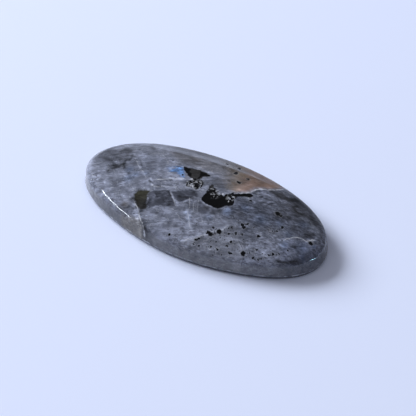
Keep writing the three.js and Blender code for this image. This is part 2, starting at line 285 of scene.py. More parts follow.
# Streaks and smudges: how much they lighten (below zero they darken), half width, then one or more points.
streaks = (
    # the smoky left end
    (-0.45, 0.22, (-13.6, 1.6), (-13.3, 0.8), (-13.25, 0.3)),
    (-0.5, 0.24, (-13.7, 0.2), (-13.5, -0.9), (-12.9, -1.6)),
    (-0.45, 0.22, (-14.9, -1.6), (-14.0, -1.35), (-13.7, -0.9)),
    (-0.45, 0.3, (-14.6, -2.2), (-13.9, -1.75)), (-0.6, 0.35, (-15.0, -2.8)), (0.4, 0.28, (-13.1, -0.4)),
    (0.45, 0.25, (-14.9, -0.7), (-14.2, -1.05)), (0.25, 0.4, (-14.0, 0.8)), (0.2, 0.3, (-14.7, 1.6)),
    (-0.3, 0.45, (-15.5, 2.8), (-14.5, 2.5)), (-0.25, 0.4, (-17.6, 1.2), (-16.4, 0.7)),
    (-0.25, 0.35, (-17.2, -0.4), (-15.9, -0.7)), (0.2, 0.25, (-17.5, -1.0)),
    (-0.2, 0.3, (-18.8, -0.9), (-17.8, -2.0)), (0.2, 0.25, (-18.3, -1.7), (-17.0, -2.5)),
    (-0.3, 0.3, (-16.8, -3.5)), (-0.2, 0.4, (-14.0, -4.0), (-12.9, -4.6)), (0.7, 0.2, (-14.4, -4.85)),
    (0.25, 0.3, (-13.2, 3.0), (-12.5, 1.4)), (0.25, 0.5, (-12.2, 2.6)),
    (-0.4, 0.5, (-12.6, 5.4), (-11.5, 4.4)), (-0.2, 0.35, (-10.6, 5.8), (-9.7, 4.7)),
    (-0.4, 0.14, (-11.6, 0.8), (-10.4, -0.45)), (0.3, 0.2, (-10.8, -0.7), (-8.8, -2.1)),
    (-0.3, 0.5, (-9.6, 1.5)), (-0.25, 0.5, (-7.9, 1.0)), (-0.3, 0.3, (-7.4, 0.2), (-6.6, -0.6)),
    (0.3, 0.16, (-13.2, -2.6)), (0.3, 0.18, (-12.0, -2.9)), (0.3, 0.16, (-10.9, -3.5)),
    (0.25, 0.15, (-11.8, -4.0)), (0.25, 0.2, (-9.6, -4.1), (-8.9, -5.4)),
    (0.2, 0.3, (-9.0, -3.0), (-8.2, -4.0)), (-0.3, 0.5, (-9.4, -7.2)), (-0.4, 0.3, (-8.6, -6.3)),
    (0.8, 0.16, (-7.65, -6.8)), (-0.3, 0.25, (-8.4, -7.5)), (-0.2, 0.3, (-10.3, -5.2)),
    (-0.2, 0.25, (-11.9, -5.9)), (-0.35, 0.8, (-12.4, 0.9), (-12.1, -1.0)),
    (-0.25, 0.5, (-8.4, -7.3), (-7.6, -7.4)), (-0.35, 0.5, (-6.2, -7.4)), (-0.25, 0.4, (-6.2, -6.6)),
    (-0.2, 0.5, (-7.4, -7.2)), (-0.2, 0.7, (-14.0, -6.0)), (0.22, 0.9, (-16.2, 3.6)),
    (-0.2, 1.0, (-16.4, -1.6)), (-0.18, 1.2, (-10.0, -1.2), (-9.8, -3.6)), (-0.3, 0.5, (-6.0, -6.3)),
    (-0.25, 0.9, (-9.8, 0.6), (-8.8, -0.5)), (-0.15, 0.7, (-14.6, -5.4)), (0.25, 0.6, (-12.0, -4.6)),
    (0.2, 0.5, (-8.0, -0.6), (-7.0, 1.9)),
    # behind the wedge, and the rust
    (-0.3, 0.6, (-5.2, 5.3), (-4.6, 5.0)), (-0.3, 0.45, (-6.3, 6.3)), (-0.25, 0.4, (-4.2, 4.2)),
    (-0.2, 0.7, (-0.2, 6.0)), (-0.25, 0.4, (-5.6, 8.2)), (0.3, 0.35, (-3.0, 3.5), (-0.6, 3.35)),
    (0.25, 0.3, (0.4, 3.3), (2.2, 2.9)), (-0.35, 0.25, (2.3, 3.2)), (-0.25, 0.5, (0.8, 2.2)),
    (0.2, 0.4, (1.2, 5.0)), (-0.2, 0.4, (2.0, 1.8)), (0.3, 0.7, (4.6, 2.6)), (1.0, 0.3, (6.9, 4.55)),
    (0.6, 0.25, (6.2, 3.4)), (0.5, 0.2, (5.7, 2.5)), (0.4, 0.4, (7.8, 5.9)), (0.3, 0.5, (8.5, 7.2)),
    (-0.25, 0.6, (2.6, 7.4)), (-0.25, 0.4, (6.2, 6.4)),
    # under the flash
    (0.7, 0.4, (-6.5, 1.1)), (0.5, 0.2, (-6.3, 1.6)), (0.35, 0.35, (-6.4, 0.0), (-3.8, -0.05)),
    (0.25, 0.25, (-7.0, -0.5), (-5.5, -0.8)), (0.3, 0.2, (-3.5, -0.1), (-5.7, -1.2), (-7.0, -1.9)),
    (-0.25, 0.2, (-5.0, -1.95), (-4.0, -1.6)), (-0.5, 0.15, (-7.9, -2.5), (-7.2, -2.75)),
    (1.0, 0.2, (-7.1, -3.1)), (0.3, 0.2, (-6.5, -3.1), (-5.2, -2.65), (-3.7, -2.0)),
    (-0.5, 0.1, (-6.1, -2.9), (-5.1, -2.8)), (0.25, 0.2, (-4.4, -2.6)),
    (0.3, 0.2, (-4.3, -4.2), (-3.4, -5.2)), (-0.4, 0.15, (-6.0, -4.1), (-5.1, -4.7)),
    (0.3, 0.12, (-3.4, -2.7), (-1.4, -3.2)), (0.3, 0.1, (-3.0, -2.3), (-1.2, -2.6)),
    (-0.6, 0.12, (-5.4, -3.6), (-4.8, -3.2), (-4.2, -3.15), (-3.4, -3.7)),
    (0.4, 0.1, (-6.6, -3.2), (-5.9, -4.2), (-5.5, -5.0)),
    (0.5, 0.1, (-3.9, -3.1), (-3.2, -3.75), (-2.3, -4.35), (-1.6, -4.8)),
    (0.7, 0.13, (-2.4, -5.0), (-1.5, -4.1), (-0.9, -3.5), (-0.4, -3.1)),
    (-0.5, 0.25, (-2.2, -3.3), (-1.2, -3.0)), (0.45, 0.4, (-6.0, -4.7), (-5.4, -5.6)),
    (0.9, 0.6, (-8.1, -5.1), (-7.1, -4.4)), (0.3, 0.4, (-7.0, -5.4)),
    (-0.5, 0.2, (-2.9, -5.15), (-2.0, -5.0)), (-0.4, 0.1, (-5.6, -2.3), (-4.4, -1.95)),
    (0.5, 0.12, (-8.0, -1.9), (-7.2, -3.0)), (0.4, 0.15, (-6.9, -0.9), (-4.9, -0.7)),
    (-0.35, 0.12, (-6.6, -1.3), (-5.2, -1.5)),
    # round the main grain
    (-0.45, 0.3, (-0.7, -1.6)), (-0.5, 0.22, (0.1, -2.1)), (-0.35, 0.25, (-1.3, -1.2)),
    (-0.4, 0.2, (-0.3, -2.8)), (0.3, 0.25, (-0.1, -0.6), (0.3, 0.2)), (-0.3, 0.3, (-0.1, 1.2)),
    (-0.4, 0.2, (2.0, -3.3), (2.6, -3.5)), (-0.4, 0.15, (3.4, -3.3), (4.3, -3.9)),
    (-0.3, 0.2, (1.3, -3.5)), (0.8, 0.25, (-2.5, 0.45)), (0.5, 0.2, (-1.6, 0.1)),
    (0.5, 0.2, (-1.6, -0.75)), (0.4, 0.2, (3.1, 0.15)), (0.5, 0.2, (4.5, -0.6)), (0.4, 0.25, (6.7, 1.5)),
    # the pale middle
    (0.3, 0.5, (-3.2, -6.2), (-0.2, -5.3)), (0.3, 0.25, (0.1, -5.1), (0.7, -5.7), (1.4, -6.6)),
    (0.2, 0.6, (3.0, -5.6)), (0.2, 0.5, (2.0, -7.6)), (-0.25, 0.2, (-4.8, -7.1), (-3.8, -6.9)),
    (0.3, 0.16, (-4.7, -6.3)), (-0.3, 0.25, (-1.4, -7.65)), (-0.3, 0.2, (-2.6, -8.4)),
    (-0.25, 0.2, (-0.3, -7.5)), (-0.3, 0.15, (-3.2, -8.9)), (0.25, 0.3, (-1.8, -8.8), (0.5, -8.4)),
    (0.3, 0.3, (-7.4, -8.0), (-5.9, -8.6)), (-0.5, 0.2, (-4.6, -9.2), (-3.9, -9.6)),
    (-0.25, 0.25, (3.0, -4.9)), (-0.2, 0.2, (1.2, -5.2)),
    (0.35, 0.25, (1.9, -8.6), (3.3, -7.7), (4.5, -6.6)),
    (0.2, 0.2, (1.6, -9.3), (3.4, -7.9), (4.6, -6.8), (5.25, -6.1), (6.15, -5.45), (6.7, -4.4)),
    (-0.3, 0.6, (3.6, -8.2), (4.0, -9.3)), (-0.45, 0.5, (4.2, -3.1), (3.5, -3.7)),
    (0.35, 0.4, (0.2, -3.3)), (0.25, 0.4, (2.0, -8.2)), (0.3, 0.5, (6.0, -8.4)),
    (-0.3, 0.7, (4.2, 5.2), (3.8, 3.4)), (-0.4, 0.5, (4.3, 0.4)), (-0.25, 0.4, (2.2, 1.1)),
    (0.3, 0.9, (12.2, -4.6), (13.0, -6.0)), (-0.3, 0.3, (-6.4, -7.5), (-5.2, -8.5), (-4.3, -9.3)),
    (0.35, 0.25, (-7.4, -7.4), (-6.4, -8.4), (-5.2, -9.5)),
    # the mottled right half
    (-0.2, 1.2, (12.0, 2.4), (15.0, 2.4)), (-0.25, 0.7, (16.4, -2.6)),
    (-0.25, 0.7, (0.4, 1.6), (2.2, 1.2)), (-0.3, 0.4, (4.0, -7.2)), (-0.3, 0.4, (4.3, -2.9)),
    (0.2, 0.5, (6.2, 2.6)), (0.25, 0.5, (-2.0, -7.0)), (0.25, 0.5, (0.0, -9.0)),
    (-0.3, 0.7, (10.3, -1.8), (10.0, -3.8)), (-0.25, 0.6, (10.3, 1.2), (9.8, 0.2)),
    (-0.35, 0.6, (13.8, 2.8), (14.8, 2.2)), (-0.55, 0.22, (11.35, 1.3), (11.85, 1.5), (12.45, 1.1)),
    (-0.65, 0.28, (12.5, 4.3), (12.7, 5.0)),
    (-0.65, 0.22, (12.7, 4.2), (13.3, 3.7), (14.0, 3.6), (14.3, 4.2)), (-0.4, 0.3, (13.3, 1.3)),
    (-0.4, 0.35, (11.5, -1.9)), (-0.45, 0.14, (8.5, 1.8), (9.5, 2.3), (10.2, 3.3)),
    (-0.45, 0.12, (8.4, 3.0), (9.4, 3.35)), (-0.4, 0.15, (6.7, 3.5), (7.2, 4.2)),
    (-0.4, 0.14, (6.7, 2.7), (7.6, 3.4)), (-0.35, 0.5, (15.4, 4.4), (16.6, 3.6)),
    (-0.5, 0.1, (15.5, -5.6), (16.5, -4.9), (17.7, -4.1)), (0.3, 0.14, (10.2, 4.3), (11.6, 4.2)),
    (0.25, 0.15, (12.2, 2.2), (13.4, 2.3)), (-0.35, 0.18, (6.0, -0.6), (7.2, -1.2), (8.0, -1.0)),
    (-0.3, 0.16, (7.2, 0.2), (8.6, 0.5), (9.6, 0.0)), (-0.3, 0.15, (10.6, -0.4), (11.8, -0.2)),
    (0.5, 0.2, (6.5, -4.4), (6.3, -5.2), (5.7, -6.0)), (-0.4, 0.15, (5.4, -6.5), (6.0, -6.0)),
    (-0.35, 0.3, (8.9, -2.9)), (-0.4, 0.55, (11.8, 0.8)), (-0.35, 0.25, (11.0, 1.1), (12.3, 1.3)),
    (-0.4, 0.5, (13.3, 1.9)), (-0.3, 0.3, (13.5, 2.7)), (0.3, 0.35, (13.6, 4.15)),
    (0.25, 0.7, (14.0, 0.0)), (0.2, 0.6, (16.0, 1.0)), (0.2, 0.7, (14.0, -6.0)),
    (-0.25, 0.4, (10.0, -6.0)), (-0.2, 0.4, (4.0, -8.0)), (0.2, 0.8, (-2.0, 4.8), (0.2, 4.6)),
    (-0.4, 0.22, (6.6, 3.6), (6.6, 2.9)), (-0.4, 0.3, (7.0, 4.1)), (-0.45, 0.2, (8.0, 3.2), (8.0, 2.7)),
    (-0.4, 0.15, (9.4, 3.5)), (0.4, 0.3, (8.2, 2.1)), (-0.3, 0.5, (8.6, 1.5)),
    (-0.3, 0.25, (6.3, 0.9), (6.9, 0.4), (6.4, 0.1)), (0.25, 0.2, (6.5, 0.5)),
    (0.25, 0.15, (9.5, 3.2), (9.1, 1.8)), (-0.3, 0.15, (9.8, 2.8), (9.4, 1.6)), (-0.25, 0.3, (10.4, 0.2)),
    (-0.25, 0.3, (9.2, -0.6)), (-0.25, 0.4, (7.2, -1.7)), (-0.3, 0.25, (7.4, -2.3)),
    (-0.3, 0.3, (8.2, -2.3)), (-0.35, 0.3, (12.0, -1.9)), (-0.25, 0.4, (14.6, 0.1)),
    (-0.25, 0.4, (10.6, 3.1)), (-0.3, 0.35, (11.4, 3.2)), (0.2, 0.3, (10.5, 4.1)),
    (0.2, 0.4, (11.6, 4.6)), (-0.5, 0.45, (16.6, 0.4), (17.1, 0.9)), (-0.4, 0.3, (17.4, 1.4)),
    (0.9, 0.16, (17.4, -0.05), (18.0, 0.45)), (0.5, 0.18, (16.2, -0.6), (17.3, -0.7)),
    (0.4, 0.2, (15.1, -2.0), (15.5, -1.1), (15.9, -0.8)), (0.3, 0.3, (14.7, -2.2)),
    (-0.4, 0.3, (16.4, -2.4)), (-0.35, 0.4, (17.2, -2.9)), (-0.3, 0.3, (16.5, -1.4)),
    (-0.4, 0.2, (15.3, -5.6), (17.0, -4.7), (18.4, -3.7)), (0.2, 0.3, (13.0, -3.6)),
    (0.2, 0.5, (12.0, -4.6)), (0.2, 0.5, (9.6, -6.8)), (0.2, 0.4, (7.0, -7.0)), (-0.3, 0.2, (7.3, -4.4)),
    (-0.35, 0.25, (8.0, -4.3)), (-0.3, 0.25, (7.9, -3.5)), (-0.3, 0.2, (9.2, -3.7)),
    (-0.3, 0.2, (12.1, -6.85)), (-0.3, 0.2, (12.9, -6.6)), (-0.25, 0.2, (13.3, -6.2)),
    (-0.3, 0.2, (12.5, -5.7)), (-0.2, 0.3, (11.6, -2.6)), (-0.25, 0.25, (13.6, -2.2)),
    (0.35, 0.2, (9.5, -6.1), (10.1, -6.5)), (-0.3, 0.15, (6.1, -7.4)), (-0.25, 0.15, (7.4, -8.5)),
    (-0.3, 0.15, (4.8, -7.6)),
)
# the same way of writing, for painted blue schiller sheen and for brown stains
paintedSchillerGleams = (
    (0.5, 0.6, (-12.0, -1.6)), (0.5, 0.6, (-10.5, -2.2)), (0.5, 0.7, (-11.2, -3.2)),
    (0.35, 0.5, (-9.2, -1.4)), (0.8, 0.6, (-6.5, 1.1)), (0.5, 1.0, (10.2, -1.2)), (0.4, 0.8, (7.2, -0.6)),
    (0.45, 0.8, (15.4, 2.0)), (0.4, 0.8, (5.3, -2.5)), (0.6, 0.6, (15.0, -3.0)),
    (0.8, 0.25, (18.5, -0.6)), (0.4, 0.9, (17.4, -2.0)), (0.4, 0.6, (14.6, -1.2)),
    (0.35, 0.6, (12.6, -0.2)), (0.3, 0.5, (0.3, -5.3)), (0.4, 0.3, (1.0, -6.0)), (0.3, 0.6, (3.4, -4.5)),
    (0.5, 0.4, (18.0, -3.2)),
)
stains = (
    (0.7, 0.5, (-9.2, -7.2)), (0.5, 0.4, (3.2, 3.1)), (0.5, 0.8, (0.5, 6.5)), (0.4, 0.6, (-1.5, 8.0)),
    (0.3, 0.4, (-4.6, 5.2)), (0.5, 0.35, (-18.9, 0.8)), (0.3, 0.5, (7.1, -1.8)), (0.3, 0.4, (2.3, -3.4)),
    (0.4, 0.6, (1.6, 8.2)), (0.3, 0.4, (12.0, -2.0)), (0.5, 0.8, (5.4, 5.6), (7.6, 7.2)),
)
streakStrength = 1.35
paintedSchillerTint = (0.80, 0.98, 1.25)
# painted shade: the walls are drawn darker and warmer than the top
paintedWallShade = (0.86, 0.805, 0.68)
stainTint = (1.14, 0.98, 0.80)
unseenTint = (0.76, 0.75, 0.73)  # the far wall is drawn towards this
unseenShare = 0.6
# where things blend into each other: heights on the wall, y on the far side, or gaps from an outline
blends = {
    "paintedWallShade": (2.7, 2.0),
    "unseenWall": (3.0, 1.8),
    "farSide": (1.0, 4.5),
    "calmWall": (2.7, 1.9),
    "sawn": (0.12, 0.0),
    "dull": (0.8, -0.8),
    "salted": (0.15, -0.25),
    "wormy": (0.6, -0.6),
}
# the rust fades towards a line on its left and down the wall, and is warmer on its right
rustFade = {
    "leftLine": (1.4, 6.0),
    "leftLean": 0.33,
    "leftGap": 0.3,
    "leftSlope": 0.35,
    "wall": (3.2, 1.4),
    "wallGap": 1.1,
    "warmLean": 0.3,
    "warm": (3.4, 6.4),
}
oliveBrown = {"middle": (-6.2, -6.6), "spread": 1.6}  # the olive crystal turns brown here
hazyEnd = {"share": 0.7, "between": (-15.0, -18.5)}  # the left end is calmer

# black specks on the polished side, then painted glints, small highlights painted into the colour: x, y,
# radius
specks = (
    (3.8, 0.15, 0.35), (5.8, 1.75, 0.35), (6.45, 2.05, 0.38), (7.1, 1.2, 0.17), (4.2, 1.0, 0.2),
    (-1.0, 0.8, 0.27), (-1.5, 0.6, 0.26), (-0.75, 0.6, 0.2), (-0.9, -0.6, 0.38), (-1.2, -0.1, 0.33),
    (-1.4, -0.35, 0.22), (-2.25, -0.85, 0.3), (-2.2, -0.2, 0.17), (-0.5, 0.1, 0.17), (-1.85, 0.2, 0.14),
    (-4.1, 0.7, 0.2), (-2.0, 0.75, 0.15), (-0.4, -0.2, 0.12), (-2.7, -0.3, 0.12), (4.95, -5.65, 0.17),
    (4.65, -6.6, 0.3), (5.1, -6.7, 0.3), (5.95, -5.85, 0.36), (6.85, -4.8, 0.13), (7.35, -5.45, 0.16),
    (7.2, -4.4, 0.14), (8.25, -6.35, 0.19), (8.0, -7.1, 0.15), (8.75, -7.72, 0.17), (9.0, -7.7, 0.16),
    (7.0, -8.1, 0.17), (5.9, -8.1, 0.14), (5.4, -8.4, 0.12), (10.6, -7.0, 0.34), (8.4, -3.4, 0.24),
    (8.75, -3.68, 0.22), (11.27, -3.82, 0.22), (13.28, -0.5, 0.15), (13.36, -0.72, 0.15),
    (13.05, -1.65, 0.15), (15.9, -3.5, 0.15), (14.35, -5.1, 0.2), (13.9, -5.5, 0.17),
    (15.05, -4.65, 0.13), (12.0, -5.65, 0.14), (13.2, -6.4, 0.13), (12.1, -6.8, 0.16), (11.5, 1.35, 0.32),
    (11.85, 1.2, 0.18), (12.2, 1.25, 0.16), (17.9, -0.45, 0.3), (8.2, -5.0, 0.14), (9.0, -4.7, 0.14),
    (9.0, -2.9, 0.17), (3.5, -8.85, 0.17), (3.5, -8.2, 0.2), (4.3, -8.75, 0.14), (3.85, -7.9, 0.15),
    (-0.5, -8.95, 0.17), (2.0, 5.75, 0.3), (1.95, 6.1, 0.2), (3.4, 3.9, 0.23), (3.65, 3.8, 0.25),
    (4.15, 5.65, 0.24), (1.5, 7.6, 0.24), (1.35, 8.0, 0.2), (-0.6, 7.6, 0.24), (8.3, -5.15, 0.12),
    (9.1, -4.8, 0.12), (7.35, -4.65, 0.1), (6.5, -6.45, 0.1), (6.3, -7.3, 0.1), (7.2, -6.5, 0.09),
    (10.5, -5.65, 0.09), (9.6, -6.85, 0.1), (7.9, -8.45, 0.1), (6.7, -8.9, 0.1), (11.35, -6.45, 0.09),
    (12.95, -5.8, 0.09), (12.9, -4.75, 0.08), (12.6, -2.05, 0.12), (12.9, -6.75, 0.13), (2.4, -6.2, 0.08),
    (5.6, -7.5, 0.09), (8.6, -6.0, 0.08), (10.0, -3.0, 0.09), (7.6, -3.0, 0.1), (9.7, -5.2, 0.08),
    (14.4, -2.6, 0.08),
)
paintedGlints = (
    (-2.5, 0.5, 0.16), (-1.65, 0.2, 0.1), (-0.75, 0.3, 0.1), (-1.7, -0.8, 0.12), (3.1, 0.1, 0.1),
    (4.55, -0.7, 0.14), (-7.05, -3.05, 0.12), (6.6, 1.5, 0.1), (17.55, 0.0, 0.12), (17.95, 0.35, 0.12),
    (1.6, -0.3, 0.09), (2.2, -0.95, 0.08), (1.9, -0.6, 0.08), (7.0, 4.75, 0.16), (4.9, 0.3, 0.1),
    (1.3, -0.7, 0.08), (4.3, 0.6, 0.08),
)
# cracks and crystal edges: tone from -1 dark to 1 white, half width, then the points
cracks = (
    (0.32, 0.07, ((-12.6, 1.0), (-10.9, -0.6), (-9.8, -1.3), (-8.8, -2.1))),
    (0.6, 0.08, ((-3.5, -0.05), (-4.5, -0.5), (-5.7, -1.2), (-7.0, -1.9))),
    (0.5, 0.07, ((-7.1, -3.2), (-6.2, -3.1), (-5.2, -2.65), (-3.6, -2.0))),
    (-0.6, 0.07, ((-6.1, -2.85), (-5.1, -2.8))),
    (0.7, 0.09, ((-7.8, -6.6), (-7.2, -7.0), (-6.5, -7.7), (-5.9, -8.3), (-5.2, -8.8), (-4.6, -9.4),
                 (-4.0, -9.9))),
    (-0.6, 0.08, ((-5.0, -8.85), (-3.5, -8.2), (-2.0, -7.6), (-0.6, -7.1), (0.9, -6.9))),
    (0.5, 0.08, ((1.8, -9.0), (3.3, -8.0), (4.6, -6.8), (5.25, -6.1), (6.15, -5.45), (6.7, -4.4))),
    (0.45, 0.08, ((0.1, -5.0), (0.7, -5.6), (1.2, -6.3), (1.8, -6.9))),
    (-0.7, 0.08, ((4.7, -3.35), (5.3, -3.5), (6.3, -3.4))),
    (0.8, 0.08, ((14.55, -2.3), (15.1, -1.6), (15.85, -0.75), (16.6, -0.5), (17.25, -0.55), (17.9, -0.2))),
    (0.9, 0.1, ((17.4, -0.05), (18.0, 0.45))),
    (-0.7, 0.08, ((9.2, -5.8), (9.85, -6.2), (10.55, -6.85), (10.95, -7.55), (10.95, -8.4))),
    (0.85, 0.11, ((4.7, 1.25), (5.6, 2.1), (6.2, 2.9), (6.4, 3.9), (7.0, 4.8), (7.8, 5.3), (8.6, 6.5),
                  (9.0, 7.6))),
    (0.3, 0.06, ((-3.6, -3.4), (-1.9, -4.9))),
    (0.4, 0.05, ((-0.7, -3.0), (0.3, -4.7))),
    (-0.4, 0.05, ((-0.3, -2.9), (0.6, -4.6))),
    (0.35, 0.05, ((0.0, -2.8), (0.9, -4.6))),
    (0.35, 0.05, ((0.7, -2.8), (1.5, -4.5))),
    (-0.35, 0.05, ((1.1, -2.9), (1.8, -4.3))),
)
# specks that stand where the stone was not seen: how many, between which heights, and their sizes
hiddenSpecks = {
    "wall": (26, 0.5, 2.6),
    "base": (34, -0.1, 0.01),
    "wallAngles": (12, 212),
    "sizes": (0.08, 0.26),
    "seed": 7,
}


def gapToLine(x, y, points):
    # distance from a line of points, and the side of it that a place is on
    if len(points) == 1:
        points = (points[0], (points[0][0] + 1e-6, points[0][1]))
    best = np.full(x.shape, 1e9)
    side = np.ones(x.shape)
    for (ax, ay), (bx, by) in zip(points, points[1:]):
        dx, dy = bx - ax, by - ay
        along = np.clip(((x - ax) * dx + (y - ay) * dy) / (dx * dx + dy * dy), 0, 1)
        gap = np.hypot(x - ax - along * dx, y - ay - along * dy)
        nearer = gap < best
        best[nearer] = gap[nearer]
        side[nearer] = np.sign((x - ax) * dy - (y - ay) * dx)[nearer]
    return best, side


def gapToOutline(x, y, corners):
    # distance from an outline in mm, below zero inside it
    gap, _ = gapToLine(x, y, corners + corners[:1])
    inside = np.zeros(x.shape, bool)
    for (ax, ay), (bx, by) in zip(corners, corners[1:] + corners[:1]):
        if by != ay:
            inside ^= ((ay > y) != (by > y)) & (x < ax + (bx - ax) * (y - ay) / (by - ay))
    return np.where(inside, -gap, gap)


def gapToMarks(place, marks, heights=(-9, 9)):
    x, y, z = place.T
    gap = np.min([gapToOutline(x, y, corners) for corners in marks.values()], axis=0)
    return np.maximum(gap, np.maximum(heights[0] - z, z - heights[1]))


def smoothStep(value, low, high):
    t = np.clip((value - low) / (high - low), 0, 1)
    return t * t * (3 - 2 * t)


def brushed(x, y, strokes, tint=None):
    # strokes laid over each other, as a factor on the colour
    factor = np.ones((len(x), 1 if tint is None else 3))
    for amount, wide, *points in strokes:
        near = np.exp(-(gapToLine(x, y, points)[0] / wide) ** 2)[:, None]
        if tint is None:
            factor *= 1 + amount * streakStrength * near
        else:
            factor *= np.array(tint) ** (amount * near)
    return factor


# crystal tints, streaks and stains, with the painted light and shade on walls and rims
def crystalTintAndPaintedLight(place):
    x, y, z = place.T
    tint = brushed(x, y, streaks) * brushed(x, y, paintedSchillerGleams, paintedSchillerTint) * brushed(x, y, stains, stainTint)
    # painted shade on the wall below the shoulder
    tint *= 1 + (np.array(paintedWallShade) - 1) * smoothStep(z, *blends["paintedWallShade"])[:, None]
    for colour, soft, corners in crystalsAndPaintedLight.values():
        inside = smoothStep(gapToOutline(x, y, corners), soft, -soft)[:, None]
        tint *= 1 + (np.array(colour) - 1) * inside
    unseen = smoothStep(z, *blends["unseenWall"]) * smoothStep(y, *blends["farSide"])
    tint += (np.array(unseenTint) - tint) * unseen[:, None] * unseenShare
    return np.clip(tint, 0.12, 2.4)


def nearestCrack(place):
    # signed offset from the nearest line, how near it is, its tone and its width
    x, y, z = place.T
    best = np.full(x.shape, 1e9)
    offset, tone, wide = (np.zeros(x.shape) for _ in range(3))
    for lineTone, lineWidth, points in cracks:
        gap, side = gapToLine(x, y, points)
        nearer = gap < best
        best[nearer] = gap[nearer]
        offset[nearer] = (gap * side)[nearer]
        tone[nearer] = lineTone
        wide[nearer] = lineWidth
    fade = np.clip((0.6 - best) / 0.25, 0, 1) * (z > topSide[0])
    return offset, fade, tone, wide


def spotsOnTop(place, spots):
    upper = place[place[:, 2] > topSide[0]]
    for x, y, radius in spots:
        home = np.argmin(np.hypot(upper[:, 0] - x, upper[:, 1] - y))
        yield np.array((x, y, upper[home, 2])), radius


def spotsUnseen(place):
    # drawn as places and then moved to the nearest vertex, as the vertices come in no fixed order
    dice = random.Random(hiddenSpecks["seed"])
    halfSize = np.array((cabochon["length"] / 2, cabochon["width"] / 2))
    for side in ("wall", "base"):
        count, low, high = hiddenSpecks[side]
        homes = place[(place[:, 2] > low) & (place[:, 2] < high)]
        for _ in range(count):
            angles = hiddenSpecks["wallAngles"] if side == "wall" else (0, 360)
            angle = math.radians(dice.uniform(*angles))
            reach = 1.0 if side == "wall" else math.sqrt(dice.random())
            x, y = halfSize * reach * (math.cos(angle), math.sin(angle))
            target = np.array((x, y, dice.uniform(low, high)))
            home = np.argmin(np.linalg.norm(homes - target, axis=1))
            yield homes[home], dice.uniform(*hiddenSpecks["sizes"])


def nearestSpot(place, spots):
    # each vertex carries the middle and the size of the spot that is nearest to it
    best = np.full(len(place), 1e9)
    centre = np.zeros((len(place), 3))
    size = np.full(len(place), 0.1)
    for middle, radius in spots:
        gap = np.linalg.norm(place - middle, axis=1) - radius
        nearer = gap < best
        best[nearer] = gap[nearer]
        centre[nearer] = middle
        size[nearer] = radius
    return best, centre, size


# the outlines of marks wander a little, as crystal edges do: how fine and how far in mm, wide and narrow
wander = {"seed": 7, "wide": (0.9, 0.1), "narrow": (2.3, 0.08)}


def raggedPlaces(place):
    noise.seed_set(wander["seed"])  # without it the wander changes from run to run
    (wideFine, wideFar), (narrowFine, narrowFar) = wander["wide"], wander["narrow"]
    shift = np.array([noise.noise_vector(Vector(p) * wideFine) * wideFar
                      + noise.noise_vector(Vector(p) * narrowFine) * narrowFar for p in place])
    shift[:, 2] = 0
    # the base shows other crystals than the top
    wandering = place + shift
    onBase = place[:, 2] < baseHeight
    wandering[onBase, :2] *= -1
    return wandering


# small bruises on the edges: x, y, z, how wide and how deep
chips = (
    (6.2, -9.55, 0.2, 0.5, 0.10), (6.9, -9.45, 0.3, 0.3, 0.08), (3.4, -9.9, 0.15, 0.35, 0.07),
    (11.8, -8.15, 0.25, 0.3, 0.06), (19.75, -0.9, 2.3, 0.45, 0.10), (19.2, -2.4, 0.2, 0.35, 0.07),
    (-9.5, -8.9, 0.2, 0.35, 0.06), (-16.5, -5.7, 0.2, 0.4, 0.07), (-19.6, 1.2, 0.3, 0.35, 0.07),
    (-12.5, 7.8, 0.2, 0.45, 0.09), (-3.0, 9.9, 0.25, 0.35, 0.06), (5.2, 9.7, 0.2, 0.5, 0.09),
    (13.6, 7.3, 0.25, 0.35, 0.07), (18.2, 4.0, 0.2, 0.4, 0.08),
)
relief = {"grainDepth": 0.05, "speckDepth": 0.035, "crackDepth": 0.015, "handPolish": 0.006}


def undercutMarks(mesh, place, grainGap, speckGap, crackOffset, crackFade):
    # soft grains stand a little below the polish, cracks are open hairlines, and edges are bruised
    normal = np.array([v.normal for v in mesh.vertices])
    rough = np.array([noise.noise(Vector(p) * 3.0) for p in place])
    wavy = np.array([noise.noise(Vector(p) * 0.35) for p in place])
    depth = relief["grainDepth"] * smoothStep(grainGap, 0.05, -0.2) * (1 + rough)
    depth = np.maximum(depth, relief["speckDepth"] * smoothStep(speckGap, 0.05, -0.12))
    depth += relief["crackDepth"] * smoothStep(abs(crackOffset), 0.14, 0.0) * crackFade
    depth += relief["handPolish"] * (1 + wavy) * (place[:, 2] > topSide[0])
    for x, y, z, wide, deep in chips:
        gap = np.linalg.norm(place - np.array((x, y, z)), axis=1)
        depth += deep * smoothStep(gap, wide, wide * 0.3) * (1 + 0.6 * rough)
    moved = (place - normal * depth[:, None]) * mm
    mesh.vertices.foreach_set("co", moved.astype(np.float32).ravel())
    mesh.update()


def storeMark(mesh, name, values):
    values = np.asarray(values, np.float32)
    if values.ndim == 2:
        mesh.attributes.new(name, "FLOAT_VECTOR", "POINT").data.foreach_set("vector", values.ravel())
    else:
        mesh.attributes.new(name, "FLOAT", "POINT").data.foreach_set("value", values)


